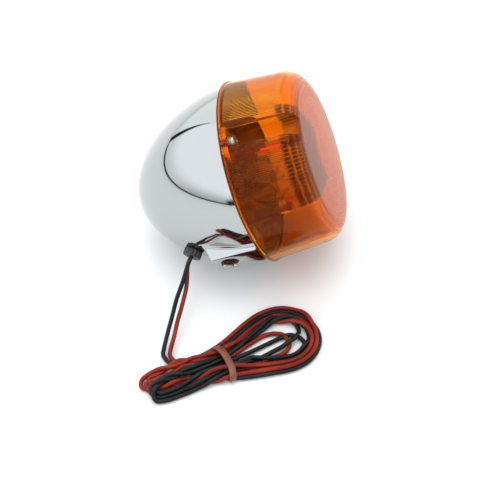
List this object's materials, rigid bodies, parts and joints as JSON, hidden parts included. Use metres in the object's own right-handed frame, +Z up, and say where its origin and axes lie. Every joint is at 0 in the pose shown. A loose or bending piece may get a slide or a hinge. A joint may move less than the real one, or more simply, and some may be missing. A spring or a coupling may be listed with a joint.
{
  "type": "turn signal indicator",
  "caption": "Round chrome bullet turn signal with an amber drum lens, a bayonet bulb, a threaded mounting boss and a tied hank of two thin leads.",
  "frame": {"origin": "on the surface that the lamp lies on, under the centre of the lamp's outline", "axes": "+Z up from that surface; +X the way the lens points, seen from above; the lamp's own axis rises 22.2 degrees from +X"},
  "size_m": [0.0988, 0.1458, 0.0909],
  "materials": {
    "chrome": "polished",
    "amber_lens": "clear amber plastic",
    "black_rubber": "matt",
    "zinc_steel": "zinc plated",
    "brass": "satin",
    "fibre": "pressed fibre",
    "black_glass": "gloss",
    "clear_glass": "clear",
    "spring_steel": "wire",
    "tungsten": "wire",
    "solder": "dull",
    "black_pvc": "satin",
    "red_pvc": "satin",
    "band_rubber": "satin"
  },
  "bodies": {
    "lamp": {"housing": "chrome", "lens_gasket": "black_rubber", "socket_bracket": "zinc_steel", "bracket_screws": "zinc_steel", "socket_shell": "zinc_steel", "socket_end_washer": "fibre", "contact_spring": "spring_steel", "ground_terminal": "brass", "inner_red_lead": "red_pvc", "inner_black_lead": "black_pvc", "wire_grommet": "black_rubber", "black_lead": "black_pvc", "red_lead": "red_pvc", "lead_hank": "red_pvc", "hank_band": "band_rubber"},
    "contact": {"contact_plate": "fibre", "contact_stud": "brass"},
    "bulb": {"bulb_cap": "brass", "bulb_pins": "brass", "bulb_insulator": "black_glass", "bulb_contact": "solder", "bulb_glass": "clear_glass", "bulb_stem": "clear_glass", "bulb_filament": "tungsten"},
    "lens_cover": {"lens": "amber_lens", "lens_screws": "zinc_steel", "lens_screw_washers": "zinc_steel"}
  },
  "joints": [
    {"name": "bulb_push", "type": "slide", "parent": "lamp", "child": "contact", "axis": [-0.9259, 0, -0.3778], "range_m": [0, 0.002], "stiffness_N_per_m": 2500, "springref_m": -0.003, "deforming": ["contact_spring"]},
    {"name": "bulb_turn", "type": "hinge", "parent": "contact", "child": "bulb", "pos_m": [-0.0156, 0.00001, 0.03473], "axis": [0.9259, 0, 0.3778], "range_deg": [0, 24]},
    {"name": "lens_off", "type": "slide", "parent": "lamp", "child": "lens_cover", "axis": [0.9259, 0, 0.3778], "range_m": [0, 0.06]}
  ]
}
